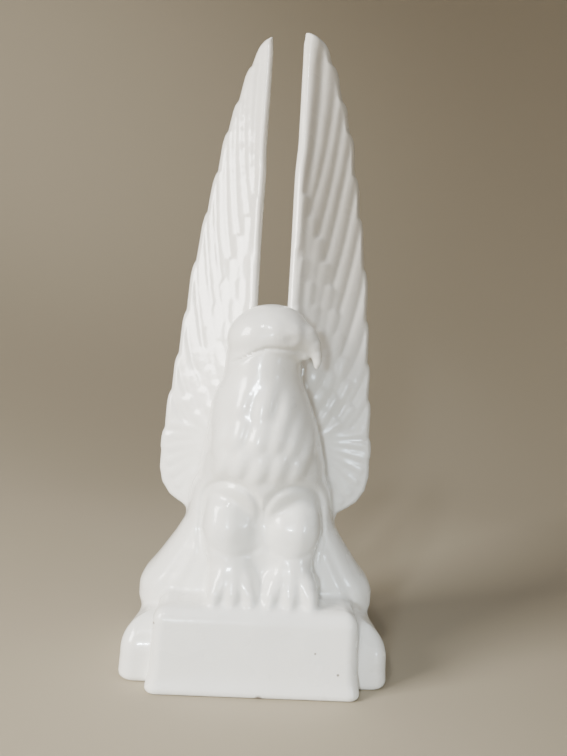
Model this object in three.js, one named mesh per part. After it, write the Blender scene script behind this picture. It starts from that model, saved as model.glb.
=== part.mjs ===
import * as THREE from "three";

// Eagle with raised wings on a stepped plinth, cast in one piece in glazed pottery.
// Sizes are in millimetres; it faces -Y, stands on its underside and Z points up.

// Plinth block and the step in front of it
const PLINTH_WIDTH = 120;
const PLINTH_DEPTH = 69.5;
const PLINTH_HEIGHT = 28;
const PLINTH_CORNER_RADIUS = 9;
const PLINTH_RIM_RADIUS = 16;
const PLINTH_DRAFT = 0.01;
const PLINTH_FLARE = 0.3;
const PLINTH_TAPER = 0.1;
const STEP_WIDTH = 91.4;
const STEP_PROJECTION = 10.5;
const STEP_HEIGHT = 36;
const STEP_CORNER_RADIUS = 5.5;
const STEP_RIM_RADIUS = 6.5;
const STEP_DRAFT = 0.018;
const STEP_FLARE = 1.6;
const UNDERSIDE_RIM_RADIUS = 2.5;
const PLINTH_CREASE = 1.2;

// Eagle above the plinth
const FIGURE_HEIGHT = 272;
const WING_GAP = 15.2;
const LEADING_EDGE_THICKNESS = 9.4;
const TRAILING_EDGE_THICKNESS = 3.6;
const WING_SWEEP = 0.6;
const TIP_SCALLOP = 1.7;
const LEFT_RELIEF_SHARE = 0.72;
const LEFT_TIP_DROP = 3.4;

// Height or depth of the carving on the smooth forms
const EDGE_BEAD = 0.6;
const FLIGHT_RELIEF = 1.25;
const COVERT_RELIEF = 1.15;
const COVERT_PITCH = 5.6;
const BREAST_RELIEF = 2.1;
const THIGH_RELIEF = 1.1;
const ARCH_GROOVE = 1.3;
const HEAD_CREASE = 0.7;
const TAIL_RELIEF = 0.8;
const TAIL_FLUTES = 6.5;
const BACK_RELIEF_SHARE = 0.8;

// Fineness of the carved surface: step of the sampling grid and triangles kept
const GRID = FIGURE_HEIGHT / 160;
const TRIANGLES = 9900;

// The eagle's forms are drawn as shares of its height, 272 units from its foot to its wing tips.
// Its thicknesses, gap and carving keep their own real sizes.
const scale = FIGURE_HEIGHT / 272;
// Height at which the drawing meets the top of the plinth
const DRAWN_FOOT = 26;

const GLAZE_WHITE = 0xf1efe9;
const FAR = 1e4;

// Small maths

function clamp(value, low, high) {
  return Math.min(Math.max(value, low), high);
}

function smoothstep(from, to, value) {
  const t = clamp((value - from) / (to - from), 0, 1);
  return t * t * (3 - 2 * t);
}

function smoothMin(a, b, blend) {
  const near = Math.max(blend - Math.abs(a - b), 0);
  return Math.min(a, b) - (near * near) / (4 * blend);
}

function smoothMax(a, b, blend) {
  return -smoothMin(-a, -b, blend);
}

// Smooth curve through [position, value] pairs, without overshoot
function curve(pairs) {
  const points = [...pairs].sort((a, b) => a[0] - b[0]);
  const last = points.length - 1;
  const slopes = [];
  for (let i = 0; i < last; i++) {
    slopes.push((points[i + 1][1] - points[i][1]) / (points[i + 1][0] - points[i][0]));
  }
  const tangents = points.map((point, i) => {
    if (i === 0) return slopes[0];
    if (i === last) return slopes[last - 1];
    if (slopes[i] * slopes[i - 1] <= 0) return 0;
    const before = points[i][0] - points[i - 1][0];
    const after = points[i + 1][0] - points[i][0];
    const w1 = 2 * after + before;
    const w2 = after + 2 * before;
    return (w1 + w2) / (w1 / slopes[i - 1] + w2 / slopes[i]);
  });
  return (position) => {
    const v = clamp(position, points[0][0], points[last][0]);
    let i = 0;
    while (i < last - 1 && v > points[i + 1][0]) i++;
    const span = points[i + 1][0] - points[i][0];
    const t = (v - points[i][0]) / span;
    const t2 = t * t;
    const t3 = t2 * t;
    const start = (2 * t3 - 3 * t2 + 1) * points[i][1] + (t3 - 2 * t2 + t) * span * tangents[i];
    return start + (3 * t2 - 2 * t3) * points[i + 1][1] + (t3 - t2) * span * tangents[i + 1];
  };
}

// Straight lines through rows of numbers, read at one position of the first column
function between(rows, position) {
  let i = 0;
  while (i < rows.length - 2 && position > rows[i + 1][0]) i++;
  const t = clamp((position - rows[i][0]) / (rows[i + 1][0] - rows[i][0]), 0, 1);
  return rows[i].map((value, k) => value + (rows[i + 1][k] - value) * t);
}

// Solid forms, each a distance that is negative inside

function limb(stations, blend) {
  const parts = [];
  for (let i = 1; i < stations.length; i++) {
    const a = stations[i - 1];
    const b = stations[i];
    const d = [b[0] - a[0], b[1] - a[1], b[2] - a[2]];
    parts.push({ a, d, grow: b[3] - a[3], length2: d[0] * d[0] + d[1] * d[1] + d[2] * d[2] });
  }
  return (x, y, z) => {
    let out = FAR;
    for (const { a, d, grow, length2 } of parts) {
      const along = (x - a[0]) * d[0] + (y - a[1]) * d[1] + (z - a[2]) * d[2];
      const t = clamp(along / length2, 0, 1);
      const away = Math.hypot(x - a[0] - t * d[0], y - a[1] - t * d[1], z - a[2] - t * d[2]);
      const one = away - a[3] - t * grow;
      out = smoothMin(out, one, blend);
    }
    return out;
  };
}

function ellipsoid(centre, radii, tiltDegrees = 0) {
  const cos = Math.cos((tiltDegrees * Math.PI) / 180);
  const sin = Math.sin((tiltDegrees * Math.PI) / 180);
  return (px, py, pz) => {
    const x = px - centre[0];
    const y = (py - centre[1]) / radii[1];
    const z = pz - centre[2];
    const u = (x * cos + z * sin) / radii[0];
    const w = (z * cos - x * sin) / radii[2];
    const k0 = Math.hypot(u, y, w);
    const k1 = Math.hypot(u / radii[0], y / radii[1], w / radii[2]);
    return (k0 * (k0 - 1)) / Math.max(k1, 1e-6);
  };
}

// Upright body at one height: half width, front, back and middle come from curves of height
function loftLayer(shape, z, power) {
  const half = shape.half(z);
  const front = shape.front(z);
  const back = shape.back(z);
  const middle = shape.middle(z);
  const depth = (back - front) / 2;
  const centre = (front + back) / 2;
  return (x, y) => {
    const u = Math.abs((x - middle) / half) ** power;
    const v = Math.abs((y - centre) / depth) ** power;
    return ((u + v) ** (1 / power) - 1) * Math.min(half, depth);
  };
}

function roundedCorner(a, b, radius) {
  const u = a + radius;
  const v = b + radius;
  return Math.hypot(Math.max(u, 0), Math.max(v, 0)) + Math.min(Math.max(u, v), 0) - radius;
}

// Block standing on z = 0 with round corners and rims; its sides lean in, flare out at the foot
// and draw together towards the back
function block({ width, front, back, height, corner, rim, draft, flare, taper }) {
  return (x, y, z) => {
    const lean = draft * clamp(z, 0, height) + flare * (1 - Math.exp(-((z / 6) ** 2)));
    const qx = Math.abs(x) - width / 2 + lean + taper * clamp(y - front, 0, back - front);
    const qy = Math.abs(y - (front + back) / 2) - (back - front) / 2 + lean;
    const plan = roundedCorner(qx, qy, corner);
    return Math.max(roundedCorner(plan, z - height, rim), roundedCorner(plan, -z, UNDERSIDE_RIM_RADIUS));
  };
}

// Charts hold a height or depth over (distance from the middle, height above the table)

function chart({ x0, x1, z0, z1, step }, heightAt, softness = 0) {
  const nx = Math.ceil((x1 - x0) / step) + 1;
  const nz = Math.ceil((z1 - z0) / step) + 1;
  let cells = new Float32Array(nx * nz);
  for (let j = 0; j < nz; j++) {
    const row = heightAt(z0 + j * step);
    for (let i = 0; i < nx; i++) cells[j * nx + i] = row(x0 + i * step);
  }
  const reach = Math.round(softness / step);
  for (let pass = 0; pass < 3 && reach > 0; pass++) {
    cells = softened(cells, nx, nz, reach, 1, nx);
    cells = softened(cells, nz, nx, reach, nx, 1);
  }
  return (x, z) => {
    const u = clamp((x - x0) / step, 0, nx - 1.001);
    const v = clamp((z - z0) / step, 0, nz - 1.001);
    const i = Math.floor(u);
    const j = Math.floor(v);
    const at = j * nx + i;
    const low = cells[at] + (cells[at + 1] - cells[at]) * (u - i);
    const high = cells[at + nx] + (cells[at + nx + 1] - cells[at + nx]) * (u - i);
    return low + (high - low) * (v - j);
  };
}

// Running average along one direction of a chart, as thick glaze fills the carving
function softened(cells, count, lines, reach, stride, lineStride) {
  const out = new Float32Array(cells.length);
  for (let line = 0; line < lines; line++) {
    for (let i = 0; i < count; i++) {
      let sum = 0;
      for (let k = -reach; k <= reach; k++) {
        sum += cells[line * lineStride + clamp(i + k, 0, count - 1) * stride];
      }
      out[line * lineStride + i * stride] = sum / (2 * reach + 1);
    }
  }
  return out;
}

// One overlapping feather: round tip, crowned across, sinking towards its root
function feather(x, z, { tipX, tipZ, angle, width, length }, rise, crown) {
  const cos = Math.cos((angle * Math.PI) / 180);
  const sin = Math.sin((angle * Math.PI) / 180);
  const along = (x - tipX) * cos + (z - tipZ) * sin;
  if (along >= 0 || along <= -length) return 0;
  const across = (z - tipZ) * cos - (x - tipX) * sin;
  const half = width / 2;
  const cap = clamp((along + width * 0.75) / (width * 0.75), 0, 1);
  if (Math.abs(across) >= half * Math.sqrt(1 - cap ** 2.4)) return 0;
  return rise * (1 + along / length) + crown * Math.sqrt(Math.max(1 - (across / half) ** 2, 0));
}

function highestFeather(x, z, feathers, rise, crown) {
  let out = 0;
  for (const one of feathers) {
    if (Math.abs(x - one.tipX) < one.length && Math.abs(z - one.tipZ) < one.length) {
      out = Math.max(out, feather(x, z, one, rise, crown));
    }
  }
  return out;
}

// Wings

// Outer edge of the feather tips: [height, distance from the middle]
const OUTER_EDGE = curve([
  [298, 11], [295, 13.6], [290, 16.4], [283, 19.6], [273, 22.8], [262, 26.4], [250, 30.4], [236, 33.6],
  [222, 37],
  [207, 39.6], [195, 41.4], [180, 43.8], [158, 46], [140, 47.9], [120, 49.8], [105, 50.9], [93, 51.5],
]);
// The wings differ: spread of each as [height, share], and how far the left one reaches into the gap
const LEFT_SPREAD = curve([
  [80, 1], [110, 0.976], [130, 0.952], [150, 0.936], [200, 0.904], [225, 0.884], [244, 0.89], [256, 0.91],
  [268, 0.935], [280, 0.945], [290, 0.99], [298, 1],
]);
const RIGHT_SPREAD = curve([
  [80, 1.03], [108, 1.026], [141, 1.045], [176, 1.075], [210, 1.103], [222, 1.12], [244, 1.2], [258, 1.27],
  [268, 1.35], [280, 1.42], [287, 1.53], [292, 1.68], [298, 1.74],
]);
const LEFT_INNER_SHIFT = curve([[150, 0], [200, 0.3], [226, 0.7], [245, 1.2], [270, 1.7], [298, 1.9]]);
// Heights where one flight feather ends and the next begins
const FEATHER_ENDS = [298, 285.5, 268.5, 253.5, 233, 212.5, 187, 161.5, 140, 122, 103, 84];
// Rounded lower end of the wing: [distance from the middle, height]
const WING_FOOT = [[51.3, 93], [51.2, 84], [49.4, 77], [45.4, 71.5], [41, 68.8], [36, 66.5], [33, 62]];
// Inner edge, as a difference from half the gap: [height, difference]
const INNER_EDGE = curve([
  [299, 1.2], [294, 0.6], [270, 0.6], [245, 0.5], [226, -0.4], [190, -0.4], [150, -0.8],
]);
// Leading edge in side view: [height, depth]
const LEADING_EDGE = curve([[60, -6], [100, -5], [150, -1.5], [200, 2.5], [250, 6], [300, 9]]);
const WING_AREA = { x0: 0, x1: 58, z0: 56, z1: 306, step: 0.5 };

function innerEdge(z) {
  return WING_GAP / scale / 2 + INNER_EDGE(z);
}

function scallopedEdge(z) {
  let x = OUTER_EDGE(z);
  for (let i = 1; i < FEATHER_ENDS.length; i++) {
    const t = (FEATHER_ENDS[i - 1] - z) / (FEATHER_ENDS[i - 1] - FEATHER_ENDS[i]);
    if (t > 0 && t < 1) {
      const bulge = Math.sqrt(1 - (1 - clamp(t / 0.4, 0, 1)) ** 2);
      x += (TIP_SCALLOP / scale) * (bulge - t - 0.35);
    }
  }
  return x;
}

function wingOutline() {
  const points = [];
  for (let z = 297.2; z > 93; z -= 0.9) points.push([scallopedEdge(z), z]);
  points.push(...WING_FOOT);
  points.push([0, 60], [0, 130], [5, 133], [6.6, 140]);
  for (let z = 148; z < 296; z += 4) points.push([innerEdge(z), z]);
  points.push([innerEdge(298), 297.8], [innerEdge(298) + 0.9, 298]);
  return points;
}

// Depth inside a closed outline, negative outside it
function outlineDepth(points, x, z) {
  let nearest = Infinity;
  let inside = false;
  for (let i = 0; i < points.length; i++) {
    const [ax, az] = points[i];
    const [bx, bz] = points[(i + 1) % points.length];
    const dx = bx - ax;
    const dz = bz - az;
    const t = clamp(((x - ax) * dx + (z - az) * dz) / (dx * dx + dz * dz), 0, 1);
    nearest = Math.min(nearest, (x - ax - t * dx) ** 2 + (z - az - t * dz) ** 2);
    if (az > z !== bz > z && x < (dx * (z - az)) / dz + ax) inside = !inside;
  }
  return inside ? Math.sqrt(nearest) : -Math.sqrt(nearest);
}

// Valleys between flight feathers: notch, middle and root, each [distance from the middle, height]
const VALLEYS = [
  [[13.6, 296], [15.2, 270], [14, 236]],
  [[19.4, 284], [20.6, 258], [17.8, 226]],
  [[24.6, 267], [24.4, 238], [20.4, 206]],
  [[29.6, 252], [28.8, 228], [23.6, 192]],
  [[34.8, 232], [32.6, 206], [27, 176]],
  [[38.6, 212], [36, 190], [30.6, 162]],
  [[42.2, 187], [39.6, 167], [34.6, 146]],
  [[45.2, 161.5], [42.4, 146], [37.6, 133]],
  [[47.6, 140], [44.6, 128], [40, 119]],
  [[49.2, 122], [46, 115], [41.6, 109]],
  [[50.4, 103], [47, 101], [42, 99]],
];

function valleyAt(valley, z) {
  const [[x0, z0], [x1, z1], [x2, z2]] = valley;
  const h = clamp(z, z2 - 30, z0);
  const a = (x0 * (h - z1) * (h - z2)) / ((z0 - z1) * (z0 - z2));
  const b = (x1 * (h - z0) * (h - z2)) / ((z1 - z0) * (z1 - z2));
  const c = (x2 * (h - z0) * (h - z1)) / ((z2 - z0) * (z2 - z1));
  return a + b + c + 0.35 * Math.max(z - z0, 0);
}

function flightRow(z) {
  const edges = [innerEdge(z), ...VALLEYS.map((valley) => valleyAt(valley, z)), 60];
  return (x) => {
    let out = 0;
    for (let i = 1; i < edges.length; i++) {
      const high = Math.max(edges[i], edges[i - 1] + 0.5);
      const t = (x - edges[i - 1]) / (high - edges[i - 1]);
      if (t >= 0 && t < 1) {
        const ridge = Math.sqrt(1 - (2 * t ** 0.85 - 1) ** 2);
        out = FLIGHT_RELIEF * ridge * clamp((high - edges[i - 1]) / 4, 0, 1);
      }
    }
    return out;
  };
}

// Rows of small feathers: tips as [distance from the middle, height, direction, width, length]
const COVERT_ROWS = [
  [[11.5, 219, 86, 5.9, 26], [20, 199, 84, 5.9, 26], [26, 177, 82, 5.9, 24], [31, 158, 80, 5.9, 22],
    [36.5, 140, 76, 5.9, 20], [40.5, 121, 62, 5.7, 16], [42.5, 108, 40, 5.5, 14]],
  [[11.5, 196, 88, 5.7, 24], [18, 173, 85, 5.7, 22], [24.5, 151, 82, 5.7, 19], [30, 134, 76, 5.7, 16],
    [34, 119, 60, 5.5, 13], [36, 108, 34, 5.5, 12]],
  [[11, 168, 88, 5.7, 20], [17, 151, 86, 5.7, 18], [24, 134, 80, 5.5, 14], [28.5, 120, 66, 5.5, 12],
    [31, 109, 36, 5.2, 11]],
  [[12, 146, 90, 5.5, 16], [18.5, 132, 86, 5.5, 13], [23, 120, 74, 5.2, 11], [26, 110, 40, 5.2, 10]],
];
const WING_FOOT_FEATHERS = [
  [47.5, 106, 8, 4.8, 22], [48.4, 100, -4, 4.8, 23], [48.6, 93.6, -15, 4.9, 24], [47.8, 87, -27, 4.9, 24],
  [45.6, 81, -39, 4.9, 23], [42.2, 75.6, -50, 4.8, 21], [38, 71.2, -60, 4.8, 18],
];

function featherFrom([tipX, tipZ, angle, width, length]) {
  return { tipX, tipZ, angle, width, length };
}

// Where the first feather of each row lies, as a share of the pitch
const ROW_SHIFTS = [0.1, 0.7, 0.3, 0.9];

// Feathers spaced evenly along a row, closer where the row runs upright
function spreadFeathers(row, rowNumber) {
  const marked = [];
  let along = 0;
  row.forEach((station, i) => {
    if (i > 0) along += Math.hypot(station[0] - row[i - 1][0], 0.42 * (station[1] - row[i - 1][1]));
    marked.push([along, ...station]);
  });
  const count = Math.round((along * scale) / COVERT_PITCH);
  const feathers = [];
  for (let i = 0; i < count; i++) {
    const at = (along * (i + ROW_SHIFTS[rowNumber])) / count;
    feathers.push(featherFrom(between(marked, at).slice(1)));
  }
  return feathers;
}

const COVERTS = COVERT_ROWS.flatMap(spreadFeathers);
const FOOT_FEATHERS = WING_FOOT_FEATHERS.map(featherFrom);

// Bead that runs up the leading edge, with a crease behind it
function beadRow(z) {
  const width = 4.8 - 0.4 * smoothstep(150, 260, z);
  const inner = innerEdge(z);
  return (x) => {
    const t = (x - inner) / width;
    const crease = 0.5 * Math.exp(-(((t - 1.4) / 0.4) ** 2));
    return EDGE_BEAD * smoothstep(1.3, 0.5, t) - crease;
  };
}

function wingReliefRow(z) {
  const flight = flightRow(z);
  const bead = beadRow(z);
  return (x) => {
    const small = highestFeather(x, z, COVERTS, COVERT_RELIEF * 0.46, COVERT_RELIEF * 0.6);
    const foot = highestFeather(x, z, FOOT_FEATHERS, COVERT_RELIEF * 0.46, COVERT_RELIEF * 0.54);
    const cover = Math.max(small, foot);
    const top = cover > 0 ? Math.max(0.3 * flight(x), cover + 0.45) : flight(x);
    return top + bead(x);
  };
}

const outline = wingOutline();
const wingDepth = chart(WING_AREA, (z) => (x) => outlineDepth(outline, x, z));
const wingRelief = chart(WING_AREA, wingReliefRow, 1);
const wingRoot = curve([[60, 0], [130, 4], [150, 6.6], [300, 7.5]]);

function wingLayer(height) {
  const drop = (LEFT_TIP_DROP / scale) * smoothstep(150, 290, height);
  const shift = LEFT_INNER_SHIFT(height) / scale;
  const left = wingSideLayer(height + drop, LEFT_SPREAD(height), shift, LEFT_RELIEF_SHARE);
  const right = wingSideLayer(height, RIGHT_SPREAD(height), 0, 1);
  return (x, y) => (x < 0 ? left(-x, y) : right(x, y));
}

function wingSideLayer(z, spread, shift, relief) {
  const lead = LEADING_EDGE(z);
  const root = wingRoot(z);
  const inner = innerEdge(z);
  const slender = (0.8 + 0.2 * smoothstep(298, 230, z)) / scale;
  return (side, y) => {
    const x = side + shift * clamp(1 - (side - inner) / 20, 0, 1);
    const out = x < inner ? x : inner + (x - inner) / spread;
    const depth = wingDepth(out, z);
    const middle = lead + WING_SWEEP * (out - 8) - 0.0035 * (out - 8) ** 2;
    const chord = clamp((out - root) / 36, 0, 1);
    const taper = (LEADING_EDGE_THICKNESS - TRAILING_EDGE_THICKNESS) * chord ** 0.42;
    const radius = ((LEADING_EDGE_THICKNESS - taper) / 2) * slender;
    const across = (y - middle) * 0.87;
    const plain = Math.hypot(Math.max(radius - depth, 0), across) - radius;
    const roll = 0.15 + 0.85 * smoothstep(0.5, 5.5, out - inner);
    const share = smoothstep(0.2, 2.2, depth) * roll * (across < 0 ? 1 : BACK_RELIEF_SHARE);
    return plain - (wingRelief(out, z) * share * relief) / scale;
  };
}

// Body, head, legs and tail; each list runs [height, size]

const TORSO = {
  half: curve([
    [40, 27], [60, 29], [75, 30], [88, 29.2], [100, 27], [112, 24.6], [123, 21.4], [133, 17.4],
    [143, 16.6], [152, 15],
  ]),
  front: curve([
    [40, -17], [60, -22.5], [72, -28], [84, -33.5], [100, -36], [114, -35.4], [125, -34.6], [135, -34.6],
    [143, -34.2], [152, -30],
  ]),
  back: curve([
    [40, 26], [60, 30], [75, 31], [88, 30], [100, 26], [114, 18], [125, 10], [135, 4], [145, 0], [152, -4],
  ]),
  middle: curve([[40, 0], [88, -0.5], [106, -1.2], [112, -1.8], [123, -3], [133, -3], [152, -2]]),
};
const TAIL = {
  half: curve([
    [18, 53], [22, 54.6], [26, 55.6], [31, 55.4], [36, 53.6], [42, 49], [50, 43.4], [58, 38.2], [66, 34.4],
    [76, 33], [90, 30],
  ]),
  front: curve([[18, -19], [30, -20], [60, -20], [75, -22], [90, -22]]),
  back: curve([[18, 33], [26, 35], [40, 33], [60, 29], [90, 26]]),
  middle: () => -0.6,
};
const FRONT_AREA = { x0: -34, x1: 34, z0: 30, z1: 146, step: 0.5 };

// Locks of the breast: upper end, middle and lower end as [side, height], then width
const BREAST_LOCKS = [
  [[-18, 113], [-19.6, 107], [-21.6, 99], 8],
  [[-9.6, 116], [-11.6, 109], [-14.4, 101], 9],
  [[0.4, 115.5], [-1.6, 108], [-5, 99.5], 9.6],
  [[8, 117], [6.8, 110], [3.6, 101.5], 8.6],
  [[14.6, 115], [13.8, 108], [11, 99.5], 8.4],
  [[20, 110], [19.4, 104], [17.2, 97], 7.4],
  [[-15.4, 103], [-17.4, 97], [-19.6, 90], 8.4],
  [[-7.4, 104.5], [-9.4, 98], [-12, 90.5], 9],
  [[1.4, 103], [-0.4, 97], [-3.4, 89.5], 9.2],
  [[9.4, 104], [8, 97.5], [5.2, 90], 8.6],
  [[17, 102], [15.6, 96], [13.2, 89.5], 8],
  [[-8.5, 128], [-11, 122], [-13.6, 114], 7.6],
  [[1.4, 129], [0, 123], [-2.6, 114.5], 8],
  [[9.6, 127.5], [9.4, 121], [8, 113.5], 7.4],
];
const UPPER_LOCK_SHARE = 0.6;
const LOCK_STEPS = 14;

// A lock is a row of round bumps along its bend, fullest near its lower end
function lockBumps([start, middle, end, width]) {
  const bumps = [];
  const share = start[1] < 120 ? 1 : UPPER_LOCK_SHARE;
  for (let i = 0; i <= LOCK_STEPS; i++) {
    const t = i / LOCK_STEPS;
    const [x, z] = [0, 1].map((k) => (1 - t) ** 2 * start[k] + 2 * t * (1 - t) * middle[k] + t * t * end[k]);
    const half = (width / 2) * (0.3 + 0.7 * Math.sin(Math.PI * (0.1 + 0.74 * t ** 1.3)) ** 0.8);
    bumps.push({ x, z, half, gain: (share * 2) / width });
  }
  return bumps;
}

const LOCK_BUMPS = BREAST_LOCKS.flatMap(lockBumps);
const breastRelief = chart(FRONT_AREA, (z) => {
  const near = LOCK_BUMPS.filter((bump) => Math.abs(z - bump.z) < bump.half);
  return (x) => {
    let out = 0;
    for (const { x: bx, z: bz, half, gain } of near) {
      const rest = half * half - (x - bx) ** 2 - (z - bz) ** 2;
      if (rest > 0) out = Math.max(out, Math.sqrt(rest) * gain);
    }
    return BREAST_RELIEF * out;
  };
}, 1);

// Upright arches: middle, radius and crown
const THIGH_ARCHES = [[-14, 13, 86], [14, 13.2, 85.6]];
// Lobes of the thighs: side, half width, top and bottom
const THIGH_LOBES = [
  [-14, 10.4, 83, 58], [-13, 5.6, 79, 60], [-21, 3, 77, 60], [-5.2, 2.8, 76, 60], [14.5, 10.8, 82, 58],
  [8.4, 4.4, 74, 60], [16.8, 4.6, 75, 60], [23.4, 2.6, 78, 58],
];

function archDistance(x, z, middle, radius, crown) {
  return Math.hypot(x - middle, Math.max(z - (crown - radius), 0)) - radius;
}

const archGroove = chart(FRONT_AREA, (z) => (x) => {
  const nearest = Math.min(...THIGH_ARCHES.map((arch) => Math.abs(archDistance(x, z, ...arch))));
  return Math.exp(-((nearest / 1.7) ** 2)) * smoothstep(48, 62, z);
});

const thighRelief = chart(FRONT_AREA, (z) => (x) => {
  let out = 0;
  for (const [side, half, top, bottom] of THIGH_LOBES) {
    const depth = clamp(-archDistance(x, z, side, half, top) / half, 0, 1);
    const crown = Math.sqrt(1 - (1 - depth) ** 2) * smoothstep(bottom - 10, bottom + 8, z);
    out += crown * THIGH_RELIEF * (half > 8 ? 1 : 0.6);
  }
  return out;
}, 1);

const tailRelief = chart({ x0: -60, x1: 60, z0: 14, z1: 94, step: 0.5 }, (z) => {
  const half = TAIL.half(z);
  const fade = smoothstep(84, 60, z) * smoothstep(22, 36, z);
  return (x) => {
    const t = Math.abs(x) / half;
    const flute = Math.abs(Math.sin(Math.PI * t * TAIL_FLUTES)) ** 0.7;
    return TAIL_RELIEF * flute * fade * smoothstep(1.02, 0.9, t);
  };
}, 1);

const skull = ellipsoid([-0.8, -20.5, 149], [18.7, 15.4, 14.6], 9);
const brow = limb([[2, -31.6, 150.5, 3.6], [9, -30.4, 150.2, 3.6], [14, -27, 149.6, 3.4]], 2);
const eyeHollow = ellipsoid([10.5, -37, 147], [4.5, 2.4, 2.4], -10);
const beak = limb([
  [10.5, -24.5, 149.4, 6.8], [14.8, -25.2, 148.8, 5.6], [17.8, -25.8, 146, 3.5], [19.7, -26, 142.4, 2.1],
  [20.3, -26, 139.4, 1.5], [20.2, -26, 137.2, 1],
], 1.5);
const lowerBeak = limb([[8, -25, 143, 4], [14.4, -25.2, 142.4, 2.6]], 1.5);
// Lower edge of the head's cap over the neck: [side, height]
const CAP_EDGE = curve([[-18, 136.8], [-12.6, 138.6], [-5, 142.6], [0, 143.9], [13.4, 143.6]]);

function head(x, y, z) {
  if (z < 122 || z > 175 || y > 12) return FAR;
  let out = smoothMin(skull(x, y, z), brow(x, y, z), 4);
  out = smoothMax(out, -eyeHollow(x, y, z), 2);
  out = smoothMin(out, beak(x, y, z), 2.2);
  return smoothMin(out, lowerBeak(x, y, z), 1.2);
}

function capCrease(x, z) {
  const along = smoothstep(-19, -14, x) * smoothstep(14, 11, x);
  return HEAD_CREASE * along * Math.exp(-(((z - CAP_EDGE(x)) / 0.9) ** 2));
}

function leg(side, top) {
  return limb([
    [side, -17.4, top - 11.6, 11.4], [side, -18.2, 64, 11.6], [side * 0.95, -20, 54, 9.6],
    [side * 0.9, -22, 42, 8],
  ], 3);
}

function toe(side, spread) {
  return limb([
    [side + spread * 0.3, -24, 46.5, 4.8], [side + spread * 0.8, -27.4, 42, 3.9],
    [side + spread, -30, 38, 3.1],
    [side + spread * 1.05, -31.4, 35.2, 2.3],
  ], 2);
}

const leftLeg = leg(-14, 82.5);
const rightLeg = leg(14.3, 82);
const belly = ellipsoid([0, -10, 58], [20, 16.5, 31]);
const FEET = [[-10.5, 7.4], [14, 8.4]];
const toes = FEET.flatMap(([side, gap]) => [-gap, 0, gap].map((spread) => toe(side, spread)));
const leftInstep = ellipsoid([-10.5, -20, 40], [12, 10.6, 9.4]);
const rightInstep = ellipsoid([14, -20, 40], [13, 10.6, 9.4]);
const mound = ellipsoid([1, -15, 27], [31, 20, 10]);

function legs(x, y, z) {
  if (z > 96 || z < 6 || y > 12) return FAR;
  const both = smoothMin(leftLeg(x, y, z), rightLeg(x, y, z), 8);
  const relief = (thighRelief(x, z) / scale) * smoothstep(-8, -18, y);
  return smoothMin(both, belly(x, y, z), 6) - relief;
}

function feet(x, y, z) {
  if (z > 62 || z < 10 || y > -8) return FAR;
  const insteps = smoothMin(leftInstep(x, y, z), rightInstep(x, y, z), 4);
  return toes.reduce((out, one) => smoothMin(out, one(x, y, z), 4.4), insteps);
}

function birdLayer(z) {
  const torso = loftLayer(TORSO, z, 2);
  const tail = loftLayer(TAIL, z, 2.6);
  const wings = wingLayer(z);
  return (x, y) => {
    const breast = (breastRelief(x, z) / scale) * smoothstep(2, -8, y);
    let out = smoothMax(torso(x, y), z - 147, 4) - breast;
    out = smoothMin(out, head(x, y, z), 1) + (capCrease(x, z) / scale) * smoothstep(-22, -30, y);
    out = smoothMin(out, wings(x, y), 3.5);
    out = smoothMin(out, smoothMax(tail(x, y), z - 84, 6) - tailRelief(x, z) / scale, 4);
    const groove = Math.abs(x) < 33 ? (archGroove(x, z) * ARCH_GROOVE) / scale : 0;
    out += groove * smoothstep(-8, -16, y);
    return Math.max(out, DRAWN_FOOT - 12 - z);
  };
}

// Whole piece

const plinthFront = -(PLINTH_DEPTH + STEP_PROJECTION) / 2 + STEP_PROJECTION;
const plinthBack = (PLINTH_DEPTH + STEP_PROJECTION) / 2;
const rearBlock = block({
  width: PLINTH_WIDTH, front: plinthFront, back: plinthBack, height: PLINTH_HEIGHT,
  corner: PLINTH_CORNER_RADIUS, rim: PLINTH_RIM_RADIUS, draft: PLINTH_DRAFT, flare: PLINTH_FLARE,
  taper: PLINTH_TAPER,
});
const frontStep = block({
  width: STEP_WIDTH, front: plinthFront - STEP_PROJECTION, back: plinthFront + 23, height: STEP_HEIGHT,
  corner: STEP_CORNER_RADIUS, rim: STEP_RIM_RADIUS, draft: STEP_DRAFT, flare: STEP_FLARE,
  taper: 0,
});

function pieceLayer(z) {
  const drawnZ = (z - PLINTH_HEIGHT) / scale + DRAWN_FOOT;
  const bird = birdLayer(drawnZ);
  return (x, y) => {
    const fx = x / scale;
    const fy = y / scale;
    let ground = FAR;
    if (z < PLINTH_HEIGHT + 20 * scale) {
      ground = Math.max(smoothMin(rearBlock(x, y, z), frontStep(x, y, z), PLINTH_CREASE), -z);
      ground = smoothMin(ground, mound(fx, fy, drawnZ) * scale, 5);
    }
    ground = smoothMin(ground, legs(fx, fy, drawnZ) * scale, 5);
    ground = smoothMin(ground, feet(fx, fy, drawnZ) * scale, 4);
    return smoothMin(bird(fx, fy) * scale, ground, 2);
  };
}

// Surface: the field is sampled on a grid and each mixed cell gives one corner of the mesh

function gridAxis(from, to, step) {
  const count = Math.ceil((to - from) / step);
  return Array.from({ length: count + 1 }, (_, i) => from + i * step);
}

// True where both the inside corners and the outside corners of a cell hang together
function simpleCells() {
  const groups = (bits) => {
    let left = bits;
    let count = 0;
    while (left) {
      let group = left & -left;
      let grown = 0;
      while (grown !== group) {
        grown = group;
        for (let corner = 0; corner < 8; corner++) {
          if (grown & (1 << corner)) {
            group |= left & ((1 << (corner ^ 1)) | (1 << (corner ^ 2)) | (1 << (corner ^ 4)));
          }
        }
      }
      left &= ~group;
      count++;
    }
    return count;
  };
  return Array.from({ length: 256 }, (_, bits) => groups(bits) <= 1 && groups(255 - bits) <= 1);
}

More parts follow.
